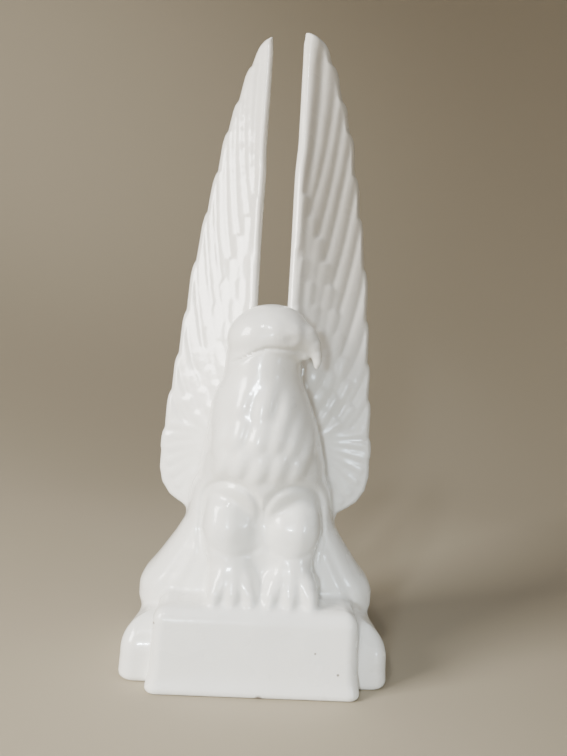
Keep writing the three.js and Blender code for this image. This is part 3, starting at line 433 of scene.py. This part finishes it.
TAIL_AREA = (-60, 60, 14, 94, CHART_STEP)
TORSO_TOP = 147
TAIL_TOP = 84
# Locks of the breast: upper end, middle and lower end as (side, height), then width
BREAST_LOCKS = [
    ((-18, 113), (-19.6, 107), (-21.6, 99), 8), ((-9.6, 116), (-11.6, 109), (-14.4, 101), 9),
    ((0.4, 115.5), (-1.6, 108), (-5, 99.5), 9.6), ((8, 117), (6.8, 110), (3.6, 101.5), 8.6),
    ((14.6, 115), (13.8, 108), (11, 99.5), 8.4), ((20, 110), (19.4, 104), (17.2, 97), 7.4),
    ((-15.4, 103), (-17.4, 97), (-19.6, 90), 8.4), ((-7.4, 104.5), (-9.4, 98), (-12, 90.5), 9),
    ((1.4, 103), (-0.4, 97), (-3.4, 89.5), 9.2), ((9.4, 104), (8, 97.5), (5.2, 90), 8.6),
    ((17, 102), (15.6, 96), (13.2, 89.5), 8), ((-8.5, 128), (-11, 122), (-13.6, 114), 7.6),
    ((1.4, 129), (0, 123), (-2.6, 114.5), 8), ((9.6, 127.5), (9.4, 121), (8, 113.5), 7.4),
]
# Locks that start above NECK_START are lower
NECK_START = 120
UPPER_LOCK_SHARE = 0.6
# Half width of the front that carries locks, lobes and grooves
FRONT_HALF = 34


def ridge(x, z, start, middle, end, width, steps=14):
    """Crowned ridge along a bent line that narrows to both ends and rises to its lower one."""
    out = np.zeros(x.shape)
    for i in range(steps + 1):
        t = i / steps
        px = (1 - t) ** 2 * start[0] + 2 * t * (1 - t) * middle[0] + t * t * end[0]
        pz = (1 - t) ** 2 * start[1] + 2 * t * (1 - t) * middle[1] + t * t * end[1]
        half = width / 2 * (0.3 + 0.7 * np.sin(np.pi * (0.1 + 0.74 * t ** 1.3)) ** 0.8)
        lift = 0.3 + 0.7 * smoothstep(0, 0.8, t)
        dome = np.sqrt(np.maximum(half * half - (x - px) ** 2 - (z - pz) ** 2, 0))
        out = np.maximum(out, lift * dome * 2 / width)
    return out


def breast_locks(x, z):
    out = np.zeros(x.shape)
    for lock in BREAST_LOCKS:
        share = 1 if lock[0][1] < NECK_START else UPPER_LOCK_SHARE
        out = np.maximum(out, ridge(x, z, *lock) * share)
    return BREAST_RELIEF * out


breast_relief = Chart(-FRONT_HALF, FRONT_HALF, 66, 146, CHART_STEP, breast_locks, 1)

# Thighs and the arches over them: middle, radius of the arch and its crown
ARCHES = [(-14, 13, 86), (14, 13.2, 85.6)]
# Lobes of the thighs: (side, top, half width, bottom); the narrow ones are lower
THIGH_LOBES = [
    (-14, 83, 10.4, 58), (-13, 79, 5.6, 60), (-21, 77, 3, 60), (-5.2, 76, 2.8, 60),
    (14.5, 82, 10.8, 58), (8.4, 74, 4.4, 60), (16.8, 75, 4.6, 60), (23.4, 78, 2.6, 58),
]
WIDE_LOBE = 8
NARROW_LOBE_SHARE = 0.6


def arch_distance(x, z, middle, radius, crown):
    return np.hypot(x - middle, np.maximum(z - (crown - radius), 0)) - radius


def arch_grooves(x, z):
    out = np.zeros(x.shape)
    for arch in ARCHES:
        out = np.maximum(out, np.exp(-((arch_distance(x, z, *arch) / 1.7) ** 2)))
    return out * smoothstep(48, 62, z)


def thigh_lobes(x, z):
    out = np.zeros(x.shape)
    for side, top, half, bottom in THIGH_LOBES:
        depth = -arch_distance(x, z, side, half, top) / half
        crown = np.sqrt(np.clip(1 - (1 - np.clip(depth, 0, 1)) ** 2, 0, 1))
        fade = smoothstep(bottom - 10, bottom + 8, z)
        out += crown * fade * (THIGH_RELIEF if half > WIDE_LOBE else THIGH_RELIEF * NARROW_LOBE_SHARE)
    return out


arch_groove = Chart(-FRONT_HALF, FRONT_HALF, 40, 96, CHART_STEP, arch_grooves)
thigh_relief = Chart(-FRONT_HALF, FRONT_HALF, 30, 96, CHART_STEP, thigh_lobes, 1)
# Crease under the cheek: (side, height)
HEAD_CREASE_LINE = curve([(-18, 136.8), (-12.6, 138.6), (-5, 142.6), (0, 143.9), (13.4, 143.6)])


def head_crease(x, z):
    along = smoothstep(-19, -14, x) * smoothstep(14, 11, x)
    return HEAD_CREASE * along * np.exp(-(((z - HEAD_CREASE_LINE(x)) / 0.9) ** 2))


def tail_flutes(x, z):
    t = np.abs(x) / TAIL_HALF(z)
    flute = np.abs(np.sin(np.pi * t * TAIL_FLUTES)) ** 0.7
    upright = TAIL_RELIEF * flute * smoothstep(84, 60, z) * smoothstep(22, 36, z)
    return upright * smoothstep(1.02, 0.9, t)


tail_relief = Chart(*TAIL_AREA, tail_flutes, 1)

# Head, turned to the right
skull = ellipsoid((-0.8, -20.5, 149), (18.7, 15.4, 14.6), 9)
brow = limb([(2, -31.6, 150.5, 3.6), (9, -30.4, 150.2, 3.6), (14, -27, 149.6, 3.4)], 2)
eye_hollow = ellipsoid((10.5, -37, 147), (4.5, 2.4, 2.4), -10)
beak = limb([
    (10.5, -24.5, 149.4, 6.8), (14.8, -25.2, 148.8, 5.6), (17.8, -25.8, 146, 3.5),
    (19.7, -26, 142.4, 2.1), (20.3, -26, 139.4, 1.5), (20.2, -26, 137.2, 1),
], 1.5)
lower_beak = limb([(8, -25, 143, 4), (14.4, -25.2, 142.4, 2.6)], 1.5)


def only(near, make, x, y, z):
    """Form worked out where it is near, and far away elsewhere."""
    out = np.full(x.shape, FAR, np.result_type(x, np.float32))
    if near.any():
        out[near] = make(x[near], y[near], z[near])
    return out


def head_form(x, y, z):
    out = smooth_min(skull(x, y, z), brow(x, y, z), 4)
    out = smooth_max(out, -eye_hollow(x, y, z), 2)
    out = smooth_min(out, beak(x, y, z), 2.2)
    return smooth_min(out, lower_beak(x, y, z), 1.2)


def leg(side, top):
    return limb([
        (side, -17.4, top - 11.6, 11.4), (side, -18.2, 64, 11.6), (side * 0.95, -20, 54, 9.6),
        (side * 0.9, -22, 42, 8),
    ], 3)


def toe(side, spread):
    return limb([
        (side + spread * 0.3, -24, 46.5, 4.8), (side + spread * 0.8, -27.4, 42, 3.9),
        (side + spread, -30, 38, 3.1), (side + spread * 1.05, -31.4, 35.2, 2.3),
    ], 2)


left_leg, right_leg = leg(-14, 82.5), leg(14.3, 82)
# Middle of each foot and how far its outer toes stand from it
FEET = ((-10.5, 7.4), (14, 8.4))
toes = [toe(side, spread) for side, gap in FEET for spread in (-gap, 0, gap)]
left_instep = ellipsoid((-10.5, -20, 40), (12, 10.6, 9.4))
right_instep = ellipsoid((14, -20, 40), (13, 10.6, 9.4))
mound = ellipsoid((1, -15, 27), (31, 20, 10))
belly = ellipsoid((0, -10, 58), (20, 16.5, 31))


def legs_form(x, y, z):
    out = smooth_min(smooth_min(left_leg(x, y, z), right_leg(x, y, z), 8), belly(x, y, z), 6)
    return out - thigh_relief(x, z) * smoothstep(-8, -18, y)


def foot_ridges(x, z):
    """A ridge down each foot to every toe."""
    out = np.zeros(x.shape)
    for side, gap in FEET:
        for spread in (-gap, 0, gap):
            line = (side + 0.35 * spread, 54), (side + 0.75 * spread, 47), (side + 1.05 * spread, 37)
            out = np.maximum(out, ridge(x, z, *line, 6.6))
    return FOOT_RELIEF * out


def leg_hems(x, z):
    """Crease where the leg's feathers end over the foot."""
    out = np.zeros(x.shape)
    for side, _ in FEET:
        hem = 54.5 + 2.4 * ((x - side) / 9) ** 2
        out = np.maximum(out, np.exp(-(((z - hem) / 1.2) ** 2)) * smoothstep(12, 9, np.abs(x - side)))
    return HEM_GROOVE * out


def foot_carving(x, z):
    return foot_ridges(x, z) - leg_hems(x, z)


foot_relief = Chart(-FRONT_HALF, FRONT_HALF, 24, 70, CHART_STEP, foot_carving, 0.5)


def feet_form(x, y, z):
    out = smooth_min(left_instep(x, y, z), right_instep(x, y, z), 4)
    for one in toes:
        out = smooth_min(out, one(x, y, z), 4.4)
    return out


def bird(x, y, z):
    torso = smooth_max(loft(TORSO, x, y, z, 2), z - TORSO_TOP, 4)
    out = torso - breast_relief(x, z) * smoothstep(2, -8, y)
    out = smooth_min(out, only((z > 122) & (z < 175) & (y < 12), head_form, x, y, z), 1)
    out = out + head_crease(x, z) * smoothstep(-22, -30, y)
    out = smooth_min(out, wings(x, y, z), 3.5)
    tail = smooth_max(loft(TAIL, x, y, z, 2.6), z - TAIL_TOP, 6)
    out = smooth_min(out, tail - tail_relief(x, z), 4)
    out = out + ARCH_GROOVE * arch_groove(x, z) * smoothstep(-8, -16, y) * (np.abs(x) < 33)
    return np.maximum(out, DRAWN_PLINTH_TOP - 12 - z)


# The step stands in front of the wider rear block and reaches back into it
STEP_OVERLAP = 23
plinth_front = -(PLINTH_DEPTH + STEP_PROJECTION) / 2 + STEP_PROJECTION
plinth_back = (PLINTH_DEPTH + STEP_PROJECTION) / 2
step_front = plinth_front - STEP_PROJECTION
step_back = plinth_front + STEP_OVERLAP


def plinth(x, y, z):
    rear = block(x, y, z, PLINTH_WIDTH, plinth_front, plinth_back, PLINTH_HEIGHT, PLINTH_CORNER_RADIUS,
                 PLINTH_RIM_RADIUS, PLINTH_DRAFT, PLINTH_FLARE, PLINTH_TAPER)
    step = block(x, y, z, STEP_WIDTH, step_front, step_back, STEP_HEIGHT, STEP_CORNER_RADIUS,
                 STEP_RIM_RADIUS, STEP_DRAFT, STEP_FLARE, 0)
    out = np.maximum(smooth_min(rear, step, PLINTH_CREASE), -z)
    return smooth_min(out, mound(x, y, z - PLINTH_HEIGHT + DRAWN_PLINTH_TOP), 5)


def piece(x, y, z):
    """The whole figurine's field at points in millimetres, negative inside."""
    drawn = z - PLINTH_HEIGHT + DRAWN_PLINTH_TOP
    ground = only(z < PLINTH_HEIGHT + 20, plinth, x, y, z)
    ground = smooth_min(ground, only((drawn > 6) & (drawn < 96) & (y < 12), legs_form, x, y, drawn), 5)
    ground = smooth_min(ground, only((drawn > 10) & (drawn < 62) & (y < -8), feet_form, x, y, drawn), 4)
    ground = ground - foot_relief(x, drawn) * smoothstep(-18, -24, y)
    return smooth_min(bird(x, y, drawn), ground, 2)


# Surface of the figurine

# Grid of the mesh, coarser in height over the plain lower plinth
GRID = 1.04
PLINTH_GRID = 1.5
PLINTH_GRID_TOP = 20
GRID_TOP = 303
MARGIN = 2
SLAB = 24
LONGEST_MOVE = 0.35


def surface_nets(values, xs, ys, zs):
    """One corner per mixed cell and one quad per crossed edge, from values over a rectilinear grid."""
    inside = values < 0
    nx, ny, nz = values.shape
    count = np.zeros((nx - 1, ny - 1, nz - 1), np.int8)
    corners = [(i, j, k) for i in (0, 1) for j in (0, 1) for k in (0, 1)]
    for i, j, k in corners:
        count += inside[i:nx - 1 + i, j:ny - 1 + j, k:nz - 1 + k]
    mixed = (count > 0) & (count < 8)
    cells = np.argwhere(mixed)
    ids = np.full(mixed.shape, -1, np.int64)
    ids[mixed] = np.arange(len(cells))
    axes = (xs, ys, zs)
    total = np.zeros((len(cells), 3))
    crossings = np.zeros(len(cells))
    for a in corners:
        for axis in range(3):
            if a[axis]:
                continue
            b = tuple(1 if d == axis else a[d] for d in range(3))
            ia, ib = (cells + a).T, (cells + b).T
            fa, fb = values[tuple(ia)], values[tuple(ib)]
            crossed = (fa < 0) != (fb < 0)
            t = np.where(crossed, fa / np.where(crossed, fa - fb, 1), 0)
            pa = np.stack([axes[d][ia[d]] for d in range(3)], 1)
            pb = np.stack([axes[d][ib[d]] for d in range(3)], 1)
            total += np.where(crossed[:, None], pa + t[:, None] * (pb - pa), 0)
            crossings += crossed
    quads = []
    for axis in range(3):
        second, third = (axis + 1) % 3, (axis + 2) % 3
        low, high = [slice(None)] * 3, [slice(None)] * 3
        low[axis], high[axis] = slice(0, -1), slice(1, None)
        at = np.argwhere(inside[tuple(low)] != inside[tuple(high)])
        back2, back3 = np.eye(3, dtype=int)[second], np.eye(3, dtype=int)[third]
        quad = np.stack([ids[tuple((at - off).T)] for off in (back2 + back3, back3, 0 * back2, back2)], 1)
        outward = inside[tuple(at.T)]
        quad[~outward] = quad[~outward][:, ::-1]
        quads.append(quad)
    return total / crossings[:, None], np.concatenate(quads)


def slope(points, reach=0.25):
    """Gradient of the field at points."""
    parts = []
    for axis in range(3):
        step = np.zeros(3)
        step[axis] = reach
        parts.append((piece(*(points + step).T) - piece(*(points - step).T)) / (2 * reach))
    return np.stack(parts, 1)


def figurine_mesh():
    """Points on the sculpt's surface, their quads and their normals."""
    half_width = PLINTH_WIDTH / 2 + MARGIN
    half_depth = (PLINTH_DEPTH + STEP_PROJECTION) / 2 + MARGIN
    xs = np.arange(-half_width, half_width + GRID, GRID)
    ys = np.arange(-half_depth, half_depth + GRID, GRID)
    low_zs = np.arange(-PLINTH_GRID / 2, PLINTH_GRID_TOP, PLINTH_GRID)
    zs = np.concatenate([low_zs, np.arange(PLINTH_GRID_TOP, GRID_TOP, GRID)])
    values = np.empty((len(xs), len(ys), len(zs)))
    for k in range(0, len(zs), SLAB):
        x, y, z = np.meshgrid(xs, ys, zs[k:k + SLAB], indexing="ij")
        values[:, :, k:k + SLAB] = piece(x.ravel(), y.ravel(), z.ravel()).reshape(x.shape)
    points, quads = surface_nets(values, xs, ys, zs)
    for _ in range(2):
        away = piece(*points.T)
        grad = slope(points)
        move = away / np.maximum((grad ** 2).sum(1), 0.2)
        points = points - np.clip(move, -LONGEST_MOVE, LONGEST_MOVE)[:, None] * grad
    points[:, 2] = np.maximum(points[:, 2], 0)
    normals = slope(points)
    normals[points[:, 2] < 0.02] = (0, 0, -1)
    normals /= np.linalg.norm(normals, axis=1)[:, None]
    return points, quads, normals


def object_from(name, points, faces, normals=None):
    mesh = bpy.data.meshes.new(name)
    mesh.from_pydata(points, [], faces)
    mesh.polygons.foreach_set("use_smooth", [True] * len(mesh.polygons))
    if normals is not None:
        mesh.normals_split_custom_set_from_vertices(normals)
    obj = bpy.data.objects.new(name, mesh)
    bpy.context.scene.collection.objects.link(obj)
    return obj


points, quads, normals = figurine_mesh()
points /= 1000
node_low, node_high = (np.array(corner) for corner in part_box("eagle_figurine"))
low, high = points.min(0), points.max(0)
points = node_low + (points - low) * (node_high - node_low) / (high - low)
figurine = object_from("eagle_figurine_glazed", points.tolist(), quads.tolist(), normals.tolist())
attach(figurine, "root")
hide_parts("eagle_figurine")


# Materials

class Nodes:
    """Short way to add and join shader nodes."""

    def __init__(self, name):
        self.material = bpy.data.materials.new(name)
        self.material.use_nodes = True
        self.tree = self.material.node_tree
        self.shader = self.tree.nodes["Principled BSDF"]

    def add(self, kind, settings=None, **inputs):
        node = self.tree.nodes.new(kind)
        for key, value in (settings or {}).items():
            setattr(node, key, value)
        for key, value in inputs.items():
            self.put(node.inputs[key.replace("_", " ")], value)
        return node

    def put(self, socket, value):
        if isinstance(value, bpy.types.NodeSocket):
            self.tree.links.new(value, socket)
        else:
            socket.default_value = value

    def ramp(self, factor, stops):
        node = self.add("ShaderNodeValToRGB")
        self.put(node.inputs["Fac"], factor)
        elements = node.color_ramp.elements
        while len(elements) < len(stops):
            elements.new(0.5)
        for element, (position, colour) in zip(elements, stops):
            element.position = position
            element.color = (*colour, 1)
        return node.outputs["Color"]

    def mix(self, factor, a, b, blend="MIX"):
        node = self.add("ShaderNodeMix", {"data_type": "RGBA", "blend_type": blend})
        self.put(node.inputs[0], factor)
        self.put(node.inputs[6], a)
        self.put(node.inputs[7], b)
        return node.outputs[2]

    def noise(self, where, scale, detail=2, roughness=0.5):
        node = self.add("ShaderNodeTexNoise", Vector=where, Scale=scale, Detail=detail, Roughness=roughness)
        return node.outputs["Fac"]


# Pinholes in the glaze and a larger dark spot at the foot of the step: place, with a tenth of its depth,
# and radius
DARK_SPOTS = [
    ((0.0254, -0.0038, 0.0196), 0.0004), ((0.0354, -0.0038, 0.0111), 0.0005),
    ((-0.0426, -0.0036, 0.0287), 0.0004), ((0.0026, -0.0039, 0.0002), 0.0014),
]
DEPTH_SHARE = 0.1
DARK_SPOT_COLOUR = (0.2, 0.165, 0.13, 1)


def glaze():
    n = Nodes("white_glaze_fired")
    where = n.add("ShaderNodeTexCoord").outputs["Object"]
    broad = n.noise(where, 14, 3)
    tints = (0.3, (0.86, 0.845, 0.79)), (0.5, (0.875, 0.862, 0.815)), (0.72, (0.865, 0.845, 0.8))
    tint = n.ramp(broad, tints)
    flatten = n.add("ShaderNodeVectorMath", {"operation": "MULTIPLY"})
    n.put(flatten.inputs[0], where)
    flatten.inputs[1].default_value = (1, DEPTH_SHARE, 1)
    # Darken the glaze at each place: three small pinholes, and a larger dark spot where the step's front
    # meets its underside
    for place, radius in DARK_SPOTS:
        away = n.add("ShaderNodeVectorMath", {"operation": "DISTANCE"})
        n.put(away.inputs[0], flatten.outputs["Vector"])
        away.inputs[1].default_value = place
        rim = {"From_Min": radius * 1.5, "From_Max": radius * 0.6}
        dark = n.add("ShaderNodeMapRange", Value=away.outputs["Value"], **rim)
        tint = n.mix(dark.outputs["Result"], tint, DARK_SPOT_COLOUR)
    n.put(n.shader.inputs["Base Color"], tint)
    n.shader.inputs["IOR"].default_value = 1.52
    n.shader.inputs["Coat Weight"].default_value = 0.55
    n.shader.inputs["Coat Roughness"].default_value = 0.06
    n.shader.inputs["Coat IOR"].default_value = 1.5
    rough = n.add("ShaderNodeMapRange", Value=n.noise(where, 60, 2), To_Min=0.2, To_Max=0.34)
    n.put(n.shader.inputs["Roughness"], rough.outputs["Result"])
    peel = n.noise(where, 420, 2, 0.45)
    swell = n.noise(where, 95, 2, 0.4)
    broad_bump = n.add("ShaderNodeBump", Strength=0.28, Distance=0.0012, Height=swell)
    on_broad = broad_bump.outputs["Normal"]
    fine_bump = n.add("ShaderNodeBump", Strength=0.1, Distance=0.0004, Height=peel, Normal=on_broad)
    n.put(n.shader.inputs["Normal"], fine_bump.outputs["Normal"])
    n.put(n.shader.inputs["Coat Normal"], fine_bump.outputs["Normal"])
    return n.material


def floor_material():
    n = Nodes("plain_floor")
    n.shader.inputs["Base Color"].default_value = (0.40, 0.35, 0.265, 1)
    n.shader.inputs["Roughness"].default_value = 0.9
    n.shader.inputs["Specular IOR Level"].default_value = 0.1
    return n.material


figurine.data.materials.append(glaze())


# Floor: a flat disc that curves up all round

def bowl(name, flat=0.4, curve_radius=1.5, wall=2.2, sides=96, steps=24):
    profile = [(0, 0), (flat, 0)]
    for i in range(1, steps + 1):
        angle = math.pi / 2 * i / steps
        profile.append((flat + curve_radius * math.sin(angle), curve_radius * (1 - math.cos(angle))))
    profile.append((flat + curve_radius, wall))
    turns = [2 * math.pi * s / sides for s in range(sides)]
    rows = [[(r * math.cos(turn), r * math.sin(turn), z) for turn in turns] for r, z in profile[1:]]
    verts = [(0, 0, 0)] + [p for row in rows for p in row]
    faces = [(0, 1 + s, 1 + (s + 1) % sides) for s in range(sides)]
    for r in range(len(rows) - 1):
        for s in range(sides):
            a, b = 1 + r * sides + s, 1 + r * sides + (s + 1) % sides
            faces.append((a, a + sides, b + sides, b))
    return object_from(name, verts, faces)


floor = bowl("studio_floor")
floor.data.materials.append(floor_material())


# Light: place and target in metres, power in watts, angle in degrees

def place_lamp(name, data, place, target, power, colour):
    data.energy = power
    data.color = colour
    obj = bpy.data.objects.new(name, data)
    obj.location = place
    obj.rotation_euler = (Vector(target) - Vector(place)).to_track_quat("-Z", "Y").to_euler()
    bpy.context.scene.collection.objects.link(obj)


def soft_light(name, place, target, size, power, colour):
    data = bpy.data.lights.new(name, "AREA")
    data.shape = "RECTANGLE"
    data.size, data.size_y = size
    place_lamp(name, data, place, target, power, colour)


def soft_spot(name, place, target, angle, radius, power, colour):
    data = bpy.data.lights.new(name, "SPOT")
    data.spot_size = math.radians(angle)
    data.spot_blend = 1
    data.shadow_soft_size = radius
    place_lamp(name, data, place, target, power, colour)


soft_light("key_left", (-1.02, -0.6, 0.5), (0, 0, 0.13), (0.45, 0.6), 35, (1, 0.965, 0.9))
soft_light("top", (-0.1, -0.35, 1.3), (0, 0, 0.1), (0.9, 0.9), 4, (0.94, 0.97, 1))
soft_light("glint", (-0.3, -0.72, 0.75), (0, 0, 0.12), (0.06, 0.14), 2.4, (1, 1, 1))
soft_spot("front_low", (-0.2, -0.9, 0.16), (0, -0.03, 0.05), 21, 0.04, 24, (0.84, 0.94, 1))
soft_spot("glint_right", (0.16, -0.75, 0.62), (0, 0, 0.08), 30, 0.012, 1.3, (1, 1, 1))
soft_spot("wall_left", (-0.7, 0.5, 1.5), (-0.75, 1.9, 0.8), 110, 0.4, 40, (1, 0.98, 0.94))
soft_spot("right_low", (0.62, -0.5, 0.1), (0.045, 0.01, 0.022), 11, 0.1, 22, (0.72, 0.88, 1))
world = bpy.data.worlds.new("studio")
world.use_nodes = True
world.node_tree.nodes["Background"].inputs["Color"].default_value = (0.95, 0.95, 1, 1)
world.node_tree.nodes["Background"].inputs["Strength"].default_value = 0.1
bpy.context.scene.world = world


# Camera at the photograph's viewing angle, close in front, with the photograph's slight tilt

CAMERA_PLACE = Vector((-0.0028, -0.2971, 0.1392))
CAMERA_PITCH = math.radians(-1.18)
CAMERA_YAW = math.radians(-1.89)
CAMERA_ROLL = math.radians(3.2)
FOCAL_PIXELS = 629
IMAGE_HEIGHT = 756
SENSOR = 36


def photo_camera():
    side = Vector((math.cos(CAMERA_YAW), math.sin(CAMERA_YAW), 0))
    level = Vector((-math.sin(CAMERA_YAW), math.cos(CAMERA_YAW), 0))
    forward = level * math.cos(CAMERA_PITCH) + Vector((0, 0, math.sin(CAMERA_PITCH)))
    up = -level * math.sin(CAMERA_PITCH) + Vector((0, 0, math.cos(CAMERA_PITCH)))
    right = side * math.cos(CAMERA_ROLL) + up * math.sin(CAMERA_ROLL)
    top = -side * math.sin(CAMERA_ROLL) + up * math.cos(CAMERA_ROLL)
    data = bpy.data.cameras.new("photo_camera")
    data.sensor_fit = "VERTICAL"
    data.sensor_height = SENSOR
    data.lens = SENSOR * FOCAL_PIXELS / IMAGE_HEIGHT
    data.clip_start, data.clip_end = 0.01, 20
    obj = bpy.data.objects.new("photo_camera", data)
    obj.matrix_world = Matrix((
        (right.x, top.x, -forward.x, CAMERA_PLACE.x),
        (right.y, top.y, -forward.y, CAMERA_PLACE.y),
        (right.z, top.z, -forward.z, CAMERA_PLACE.z),
        (0, 0, 0, 1)))
    bpy.context.scene.collection.objects.link(obj)
    bpy.context.scene.camera = obj


photo_camera()
